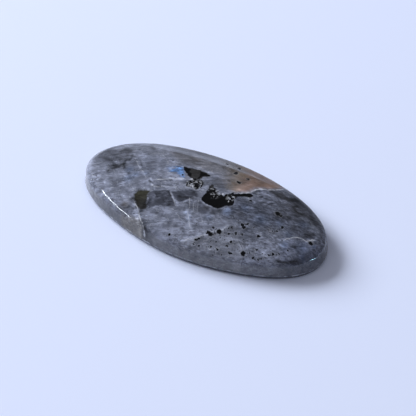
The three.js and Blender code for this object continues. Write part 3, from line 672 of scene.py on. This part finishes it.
def larvikiteStone():
    bm, rows = squareBlank(cabochon)
    cutToOval(bm, rows, cabochon)
    for face in bm.faces:
        face.smooth = True
    mesh = bpy.data.meshes.new("larvikiteStone")
    bm.to_mesh(mesh)
    bm.free()

    place = np.array([v.co for v in mesh.vertices]) / mm
    ragged = raggedPlaces(place)
    onBase = place[:, 2] < baseHeight
    grainGap = np.where(onBase, gapToMarks(place, baseGrains), gapToMarks(ragged, blackGrains, topSide))
    storeMark(mesh, "grainGap", grainGap)
    storeMark(mesh, "smokyGap", gapToMarks(ragged, smokyCrystals, topSide))
    storeMark(mesh, "oliveGap", gapToMarks(ragged, olivePatch, topSide))
    storeMark(mesh, "paintedSchillerGap", gapToMarks(ragged, paintedBlueSchiller, topSide))
    rustGap = gapToMarks(ragged, rustZone)
    r = rustFade
    fromLeft = ragged[:, 0] - r["leftLine"][0] - (r["leftLine"][1] - ragged[:, 1]) * r["leftLean"]
    rustGap = np.maximum(rustGap, -r["leftGap"] - r["leftSlope"] * fromLeft)
    storeMark(mesh, "rustGap", rustGap + r["wallGap"] * smoothStep(place[:, 2], *r["wall"]))
    storeMark(mesh, "rustWarm", smoothStep(ragged[:, 0] + r["warmLean"] * ragged[:, 1], *r["warm"]))
    hazy = hazyEnd["share"] * smoothStep(place[:, 0], *hazyEnd["between"])
    storeMark(mesh, "calm", np.maximum(smoothStep(place[:, 2], *blends["calmWall"]), hazy))
    dull = [reach * smoothStep(gapToOutline(*place.T[:2], corners), *blends["dull"])
            for reach, corners in dullEdges]
    storeMark(mesh, "dull", np.max(dull, axis=0))
    storeMark(mesh, "veilGap", gapToMarks(ragged, nearlyBlack, topSide))
    fromBrown = ((ragged[:, :2] - np.array(oliveBrown["middle"])) ** 2).sum(axis=1)
    storeMark(mesh, "oliveFade", np.exp(-fromBrown / oliveBrown["spread"]))
    storeMark(mesh, "salted", smoothStep(gapToMarks(ragged, saltedGrains, topSide), *blends["salted"]))
    storeMark(mesh, "crystalTintAndPaintedLight", crystalTintAndPaintedLight(ragged))
    fromRight = gapToOutline(*ragged.T[:2], crystalsAndPaintedLight["rightBody"][2])
    storeMark(mesh, "wormy", smoothStep(fromRight, *blends["wormy"]))
    storeMark(mesh, "sawn", smoothStep(place[:, 2], *blends["sawn"]))
    crack = nearestCrack(place)
    for name, values in zip(("crackOffset", "crackFade", "crackTone", "crackWidth"), crack):
        storeMark(mesh, name, values)
    speckGap, centre, size = nearestSpot(place, [*spotsOnTop(place, specks), *spotsUnseen(place)])
    storeMark(mesh, "speckCentre", centre)
    storeMark(mesh, "speckSize", size)
    # painted glints: each vertex carries the nearest painted highlight
    _, centre, size = nearestSpot(place, spotsOnTop(place, paintedGlints))
    storeMark(mesh, "paintedGlintCentre", centre)
    storeMark(mesh, "paintedGlintSize", size)
    undercutMarks(mesh, place, grainGap, speckGap, crack[0], crack[1])

    piece = bpy.data.objects.new("larvikiteStone", mesh)
    bpy.context.scene.collection.objects.link(piece)
    return piece


# A small set of helpers for wiring a node material.
class Wires:
    def __init__(self, name):
        self.material = bpy.data.materials.new(name)
        self.material.use_nodes = True
        self.tree = self.material.node_tree
        self.tree.nodes.clear()

    def node(self, kind, **settings):
        made = self.tree.nodes.new("ShaderNode" + kind)
        for key, value in settings.items():
            setattr(made, key, value)
        return made

    def feed(self, socket, value):
        if isinstance(value, bpy.types.NodeSocket):
            self.tree.links.new(value, socket)
        elif value is not None:
            socket.default_value = value

    def math(self, operation, a, b=None, c=None, clamp=False):
        made = self.node("Math", operation=operation, use_clamp=clamp)
        for socket, value in zip(made.inputs, (a, b, c)):
            self.feed(socket, value)
        return made.outputs[0]

    def vector(self, operation, a, b=None, scale=None):
        made = self.node("VectorMath", operation=operation)
        self.feed(made.inputs[0], a)
        self.feed(made.inputs[1], b)
        self.feed(made.inputs[3], scale)
        return made.outputs[1 if operation in ("LENGTH", "DISTANCE", "DOT_PRODUCT") else 0]

    def drawnOut(self, at, turn, stretch):
        # a pattern laid along a direction in the plan, and stretched out along it
        made = self.node("Mapping", vector_type="TEXTURE")
        self.feed(made.inputs["Vector"], at)
        self.feed(made.inputs["Rotation"], (0, 0, math.radians(turn)))
        self.feed(made.inputs["Scale"], stretch)
        return made.outputs[0]

    def noise(self, at, scale, detail=3.0, rough=0.5, distortion=0.0, colour=False):
        made = self.node("TexNoise")
        self.feed(made.inputs["Vector"], at)
        settings = {"Scale": scale, "Detail": detail, "Roughness": rough, "Distortion": distortion}
        for key, value in settings.items():
            self.feed(made.inputs[key], value)
        return made.outputs["Color" if colour else "Fac"]

    def attribute(self, name, vector=False):
        made = self.node("Attribute", attribute_name=name)
        return made.outputs["Vector" if vector else "Fac"]

    def span(self, value, low, high, toLow=0.0, toHigh=1.0):
        made = self.node("MapRange", interpolation_type="SMOOTHSTEP")
        for socket, number in zip(made.inputs, (value, low, high, toLow, toHigh)):
            self.feed(socket, number)
        return made.outputs[0]

    def mix(self, amount, a, b, blend="MIX"):
        made = self.node("Mix", data_type="RGBA", blend_type=blend, clamp_factor=True)
        self.feed(made.inputs[0], amount)
        self.feed(made.inputs[6], a if isinstance(a, bpy.types.NodeSocket) else (*a, 1))
        self.feed(made.inputs[7], b if isinstance(b, bpy.types.NodeSocket) else (*b, 1))
        return made.outputs[2]


larvikite = {
    "grey": (0.150, 0.167, 0.226),
    "white": (0.52, 0.55, 0.62),
    "pale": (0.40, 0.43, 0.50),
    "black": (0.0048, 0.005, 0.006),
    "smoky": (0.042, 0.047, 0.066),
    "olive": (0.0112, 0.0112, 0.0072),
    # the glint colour is for painted highlights
    "glint": (0.80, 0.83, 0.90),
    "peat": (0.020, 0.020, 0.021),
    "rust": (0.172, 0.112, 0.086),
    "buff": (0.168, 0.142, 0.118),
    "paintedSchillerSheen": (0.095, 0.200, 0.440),
    "dust": (0.26, 0.27, 0.30),
    "contrast": 7.0,
    "rustContrast": 2.6,
    "paintedSchillerContrast": 40.0,
}
# ways the crystals run: turn from the oval's length in degrees, and how far they are drawn out
grainRuns = {
    "lamella": (27.0, (6.0, 1.0, 1.6)),
    "crossing": (-42.0, (4.5, 1.0, 1.2)),
    "mottle": (12.0, (2.0, 1.0, 1.2)),
    "patch": (27.0, (1.7, 1.0, 1.2)),
    "saw": (12.0, (8.0, 0.2, 1.0)),
}
texture = {
    "cloud": {"scale": 0.45, "detail": 4, "rough": 0.55},
    "patch": {"scale": 0.95, "detail": 5, "rough": 0.62, "distortion": 0.5},
    "streak": {"scale": 1.8, "detail": 4, "rough": 0.62, "distortion": 0.4},
    "worm": {"scale": 1.5, "detail": 4, "rough": 0.62, "distortion": 1.6},
    "fine": {"scale": 3.0, "detail": 2, "rough": 0.6, "distortion": 0.5},
    "edge": {"scale": 2.4, "detail": 3, "rough": 0.6},
}
# how much of each pattern there is; a pair is for calm places and for wormy or busy ones
shares = {"cloud": 0.6, "patch": 0.95, "streak": (0.85, 0.55), "worm": (0.3, 0.9), "fine": (0.55, 1.5)}


def polishedLarvikite():
    look = larvikite
    w = Wires("polishedLarvikite")
    at = w.vector("SCALE", w.node("TexCoord").outputs["Object"], scale=1 / mm)

    def swing(vector, scale, **settings):
        return w.math("SUBTRACT", w.noise(vector, scale, **settings), 0.5)

    def hairlines(vector, scale, width, detail):
        return w.span(w.math("ABSOLUTE", swing(vector, scale, detail=detail)), width, 0.0)

    # feldspar: clouds, streaks along the cleavage, a wormy mottle on the right,
    # and a fine grain that comes and goes
    lamella = w.drawnOut(at, *grainRuns["lamella"])
    crossing = w.drawnOut(at, *grainRuns["crossing"])
    drawn = w.drawnOut(at, *grainRuns["mottle"])
    cloud = swing(at, **texture["cloud"])
    patch = swing(w.drawnOut(at, *grainRuns["patch"]), **texture["patch"])
    streak = swing(lamella, **texture["streak"])
    worm = swing(drawn, **texture["worm"])
    fine = swing(drawn, **texture["fine"])
    wormy = w.attribute("wormy")
    grainy = w.span(w.noise(at, 0.4, detail=2), 0.45, 0.65)
    busy = w.math("MAXIMUM", grainy, w.math("MULTIPLY", wormy, 0.75))
    tone = w.math("MULTIPLY_ADD", patch, shares["patch"], w.math("MULTIPLY", cloud, shares["cloud"]))
    tone = w.math("MULTIPLY_ADD", streak, w.span(wormy, 0, 1, *shares["streak"]), tone)
    tone = w.math("MULTIPLY_ADD", worm, w.span(wormy, 0, 1, *shares["worm"]), tone)
    tone = w.math("MULTIPLY_ADD", fine, w.span(busy, 0, 1, *shares["fine"]), tone)
    tone = w.math("MULTIPLY", tone, w.span(w.attribute("calm"), 0, 1, 1.0, 0.5))
    # crystal tints together with painted light and shade
    tint = w.attribute("crystalTintAndPaintedLight", vector=True)
    lit = w.vector("SCALE", tint, scale=w.math("POWER", look["contrast"], tone))
    colour = w.vector("MULTIPLY", lit, look["grey"])

    # cleavage shows as pale and dark hairlines that come and go
    patchy = w.span(w.noise(at, 0.6, detail=3), 0.42, 0.62)
    paleLines = w.math("MULTIPLY", hairlines(lamella, 1.3, 0.012, 3.0), patchy)
    crossLines = w.math("MULTIPLY", hairlines(crossing, 0.8, 0.01, 2.0), w.math("SUBTRACT", 1.0, patchy))
    paleTone = w.vector("MULTIPLY", tint, look["pale"])
    colour = w.mix(w.math("MULTIPLY", paleLines, 0.45), colour, paleTone)
    colour = w.mix(w.math("MULTIPLY", crossLines, 0.36), colour, paleTone)
    darkLines = w.math("MULTIPLY", hairlines(lamella, 1.9, 0.016, 3.0), w.span(cloud, 0.04, -0.08))
    colour = w.mix(w.math("MULTIPLY", darkLines, 0.75), colour, look["smoky"])
    pores = w.span(w.noise(drawn, 2.6, detail=2.0), 0.37, 0.31)
    colour = w.mix(w.math("MULTIPLY", pores, w.span(busy, 0.3, 1, 0.1, 0.75)), colour, look["smoky"])
    crumbs = w.span(w.noise(drawn, 2.9, detail=3.0, rough=0.6), 0.64, 0.72)
    colour = w.mix(w.math("MULTIPLY", crumbs, 0.4), colour, paleTone)

    # stained and darker crystals, with edges that wander
    edge = swing(at, **texture["edge"])
    rust = w.span(w.math("MULTIPLY_ADD", edge, 0.8, w.attribute("rustGap")), 0.3, -0.9)
    rusty = w.mix(w.attribute("rustWarm"), look["buff"], look["rust"])
    softLit = w.vector("SCALE", tint, scale=w.math("POWER", look["rustContrast"], tone))
    colour = w.mix(w.math("MULTIPLY", rust, 0.85), colour, w.vector("MULTIPLY", softLit, rusty))

    smoky = w.span(w.math("MULTIPLY_ADD", edge, 0.6, w.attribute("smokyGap")), 0.15, -0.2)
    colour = w.mix(w.math("MULTIPLY", smoky, 0.95), colour, w.vector("MULTIPLY", lit, look["smoky"]))

    # painted sheen: the blue schiller flash mixed into the colour
    paintedSchillerSheen = w.span(w.math("MULTIPLY_ADD", streak, 2.5, w.attribute("paintedSchillerGap")), 0.15, -0.3)
    paintedSchillerLight = w.math("POWER", look["paintedSchillerContrast"], tone)
    bluish = w.vector("SCALE", look["paintedSchillerSheen"], scale=paintedSchillerLight)
    colour = w.mix(w.math("MULTIPLY", paintedSchillerSheen, 0.85), colour, bluish)

    olive = w.span(w.math("MULTIPLY_ADD", edge, 0.5, w.attribute("oliveGap")), 0.2, -0.35)
    oliveTone = w.mix(w.attribute("oliveFade"), look["olive"], look["peat"])
    colour = w.mix(w.math("MULTIPLY", olive, 0.99), colour, w.vector("MULTIPLY", lit, oliveTone))

    veil = w.span(w.math("MULTIPLY_ADD", edge, 0.6, w.attribute("veilGap")), 0.08, -0.1)
    colour = w.mix(w.math("MULTIPLY", veil, 0.97), colour, w.vector("MULTIPLY", lit, look["peat"]))

    # cracks wander and come and go
    wiggle = w.math("MULTIPLY", swing(at, 1.6, detail=3), 0.35)
    offset = w.math("ABSOLUTE", w.math("ADD", w.attribute("crackOffset"), wiggle))
    across = w.math("DIVIDE", offset, w.attribute("crackWidth"))
    broken = w.span(w.noise(at, 1.4, detail=3), 0.36, 0.58, 0.3, 1.1)
    crack = w.math("MULTIPLY", w.span(across, 1.3, 0.1), w.attribute("crackFade"))
    crack = w.math("MULTIPLY", crack, broken)
    toneOf = w.attribute("crackTone")
    paleCrack = w.math("MULTIPLY", crack, w.math("MAXIMUM", toneOf, 0.0))
    darkCrack = w.math("MULTIPLY", crack, w.math("MAXIMUM", w.math("MULTIPLY", toneOf, -1.0), 0.0))
    colour = w.mix(paleCrack, colour, look["white"])
    colour = w.mix(darkCrack, colour, look["smoky"])

    # black grains and their specks, each with a thin pale rim, and painted glints beside them
    jitter = w.vector("SUBTRACT", w.noise(at, 3.2, detail=3, colour=True), (0.5, 0.5, 0.5))
    spotAt = w.vector("ADD", at, w.vector("SCALE", jitter, scale=0.6))

    def reachOf(name):
        gap = w.vector("DISTANCE", spotAt, w.attribute(name + "Centre", vector=True))
        return w.math("DIVIDE", gap, w.attribute(name + "Size"))

    grainGap = w.math("MULTIPLY_ADD", edge, 0.4, w.attribute("grainGap"))
    speckReach = reachOf("speck")
    rim = w.math("MAXIMUM", w.span(grainGap, 0.35, 0.05, 0.0, 0.2), w.span(speckReach, 2.2, 1.2))
    rim = w.math("MULTIPLY", rim, w.span(w.math("MAXIMUM", smoky, veil), 0, 1, 0.13, 0.0))
    colour = w.mix(rim, colour, look["white"])
    black = w.math("MAXIMUM", w.span(grainGap, 0.06, -0.08), w.span(speckReach, 1.4, 0.9))
    # salted places are a mixture of black, grey and white grains
    salted = w.attribute("salted")
    crushed = w.node("TexVoronoi")
    w.feed(crushed.inputs["Vector"], spotAt)
    w.feed(crushed.inputs["Scale"], 3.4)
    grainShade = w.node("SeparateXYZ")
    w.feed(grainShade.inputs[0], crushed.outputs["Color"])
    salt = grainShade.outputs["X"]
    pepper = w.math("MULTIPLY", w.span(salt, 0.60, 0.56), salted)
    flecks = w.math("MULTIPLY", w.span(salt, 0.74, 0.78), salted)
    black = w.math("MAXIMUM", black, pepper)
    colour = w.mix(black, colour, look["black"])
    colour = w.mix(w.math("MULTIPLY", flecks, w.span(black, 0, 1, 0.45, 0.32)), colour, look["white"])
    # painted highlights: the glint colour painted on beside the grains
    colour = w.mix(w.math("MULTIPLY", w.span(reachOf("paintedGlint"), 1.2, 0.3), 0.65), colour, look["glint"])

    # a pale line round the lower edge of the wall: a painted highlight of the edge catching the light,
    # broken up like frosted grinding
    split = w.node("SeparateXYZ")
    w.feed(split.inputs[0], at)
    height = split.outputs["Z"]
    bevelUp = cabochon["bevelUp"]
    fromEdge = w.math("ABSOLUTE", w.math("SUBTRACT", height, bevelUp + 0.06))
    edgeHighlightAndFrost = w.span(w.noise(at, 0.8, detail=4, rough=0.7), 0.42, 0.64, 0.03, 0.75)
    colour = w.mix(w.math("MULTIPLY", w.span(fromEdge, 0.14, 0.04), edgeHighlightAndFrost), colour, look["white"])
    # painted shade: the chamfer below the line is painted dark, as the shade under the girdle
    bevel = w.math("MULTIPLY", w.span(height, bevelUp - 0.02, bevelUp - 0.12), w.span(height, 0.0, 0.1))
    colour = w.mix(w.math("MULTIPLY", bevel, 0.75), colour, look["smoky"])

    # the sawn base is matte and dusty, with the saw's lines across it
    sawn = w.attribute("sawn")
    sawLines = w.noise(w.drawnOut(at, *grainRuns["saw"]), 1.0, detail=3, rough=0.6)
    dusty = w.math("MULTIPLY", sawn, w.span(sawLines, 0.3, 0.7, 0.25, 0.5))
    colour = w.mix(dusty, colour, look["dust"])
    pitted = w.math("MULTIPLY", w.noise(at, 3.0, detail=3), black)
    bump = w.node("Bump")
    bump.inputs["Strength"].default_value = 1.0
    bump.inputs["Distance"].default_value = 0.03 * mm
    w.feed(bump.inputs["Height"], w.math("MULTIPLY_ADD", sawLines, sawn, pitted))

    shader = w.node("BsdfPrincipled")
    w.feed(shader.inputs["Base Color"], colour)
    w.feed(shader.inputs["Roughness"], w.span(w.math("MAXIMUM", black, sawn), 0, 1, 0.42, 0.6))
    shader.inputs["Specular IOR Level"].default_value = 0.05
    unpolished = w.math("MAXIMUM", w.math("MAXIMUM", black, sawn), w.attribute("dull"))
    w.feed(shader.inputs["Coat Weight"], w.span(unpolished, 0, 1, 1.0, 0.1))
    shader.inputs["Coat Roughness"].default_value = 0.05
    w.feed(shader.inputs["Normal"], bump.outputs[0])
    output = w.node("OutputMaterial")
    w.feed(output.inputs["Surface"], shader.outputs[0])
    return w.material


stone = larvikiteStone()
stone.data.materials.append(polishedLarvikite())
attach(stone, "root")
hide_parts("stone")
print("stone:", len(stone.data.vertices), "vertices,", len(stone.data.loop_triangles), "triangles")


# A pale sheet under the stone.
tableTop = {"size": 3000.0, "colour": (0.69, 0.765, 0.985)}


def paleTable():
    bm = bmesh.new()
    bmesh.ops.create_grid(bm, x_segments=1, y_segments=1, size=tableTop["size"] / 2 * mm)
    mesh = bpy.data.meshes.new("paleTable")
    bm.to_mesh(mesh)
    bm.free()
    w = Wires("paleTable")
    shader = w.node("BsdfPrincipled")
    shader.inputs["Base Color"].default_value = (*tableTop["colour"], 1)
    shader.inputs["Roughness"].default_value = 0.8
    shader.inputs["Specular IOR Level"].default_value = 0.1
    w.feed(w.node("OutputMaterial").inputs["Surface"], shader.outputs[0])
    mesh.materials.append(w.material)
    table = bpy.data.objects.new("paleTable", mesh)
    table.location.z = -0.02 * mm  # clear of the base
    bpy.context.scene.collection.objects.link(table)


paleTable()


# The camera looks down on the stone from its front right.
viewpoint = {
    "azimuth": 30.87,
    "elevation": 43.71,
    "distance": 220.0,
    "lens": 128.4,
    "aimRight": 0.54,  # the stone's origin stands this far left of the picture's middle
    "aimUp": 0.89,
}


def directionAt(azimuth, elevation):
    a, e = math.radians(azimuth), math.radians(elevation)
    return Vector((math.sin(a) * math.cos(e), -math.cos(a) * math.cos(e), math.sin(e)))


def pointAt(thing, place, target):
    thing.location = place
    thing.rotation_euler = (target - place).to_track_quat("-Z", "Y").to_euler()


def stoneCamera():
    v = viewpoint
    back = directionAt(v["azimuth"], v["elevation"])
    right = Vector((0, 0, 1)).cross(back).normalized()
    up = back.cross(right)
    aim = (right * v["aimRight"] + up * v["aimUp"]) * mm
    data = bpy.data.cameras.new("stoneCamera")
    data.lens = v["lens"]
    data.sensor_width = 36.0
    data.clip_start = 0.01
    camera = bpy.data.objects.new("stoneCamera", data)
    bpy.context.scene.collection.objects.link(camera)
    pointAt(camera, aim + back * v["distance"] * mm, aim)
    bpy.context.scene.camera = camera


stoneCamera()


# Soft light: a bright wall on the left, the sky above, a narrow window and a small glint that only mirror
# in the polish, and a dim room.
lamps = {
    "brightWall": {"azimuth": -94.0, "elevation": 29.5, "distance": 1100.0, "size": (750.0, 530.0),
                   "watts": 19.6, "colour": (0.97, 0.98, 1.0), "mirrored": False},
    "sky": {"azimuth": 30.0, "elevation": 82.0, "distance": 1200.0, "size": (2200.0, 2200.0), "watts": 4.5,
            "colour": (0.97, 0.95, 0.98), "mirrored": False},
    "window": {"azimuth": -64.5, "elevation": 36.0, "distance": 600.0, "size": (200.0, 22.0), "watts": 0.42,
               "colour": (0.86, 0.93, 1.0), "mirrored": True},
    "glint": {"azimuth": 96.0, "elevation": 8.0, "distance": 600.0, "size": (220.0, 14.0), "watts": 0.9,
              "colour": (0.40, 0.80, 1.0), "mirrored": True, "roll": -29.0},
}
room = {"colour": (0.95, 0.93, 0.96), "overhead": 0.16, "horizon": 0.18}


def studioLight():
    for name, lamp in lamps.items():
        data = bpy.data.lights.new(name, "AREA")
        data.shape = "RECTANGLE"
        data.size, data.size_y = (side * mm for side in lamp["size"])
        data.energy = lamp["watts"]
        data.color = lamp["colour"]
        light = bpy.data.objects.new(name, data)
        light.visible_camera = False
        light.visible_glossy = lamp["mirrored"]
        light.visible_diffuse = not lamp["mirrored"]
        bpy.context.scene.collection.objects.link(light)
        place = directionAt(lamp["azimuth"], lamp["elevation"]) * lamp["distance"] * mm
        pointAt(light, place, Vector((0, 0, 0)))
        light.rotation_euler.rotate_axis("Z", math.radians(lamp.get("roll", 0.0)))

    # the room is lighter near the horizon than overhead
    world = bpy.data.worlds.new("coolRoom")
    bpy.context.scene.world = world
    world.use_nodes = True
    nodes, links = world.node_tree.nodes, world.node_tree.links
    height = nodes.new("ShaderNodeSeparateXYZ")
    links.new(nodes.new("ShaderNodeTexCoord").outputs["Generated"], height.inputs[0])
    fade = nodes.new("ShaderNodeMapRange")
    for socket, number in zip(list(fade.inputs)[1:5], (0.0, 0.4, room["horizon"], room["overhead"])):
        socket.default_value = number
    links.new(height.outputs["Z"], fade.inputs[0])
    background = nodes["Background"]
    background.inputs["Color"].default_value = (*room["colour"], 1)
    links.new(fade.outputs[0], background.inputs["Strength"])
    bpy.context.scene.view_settings.view_transform = "Standard"


studioLight()
print("camera and lights placed")
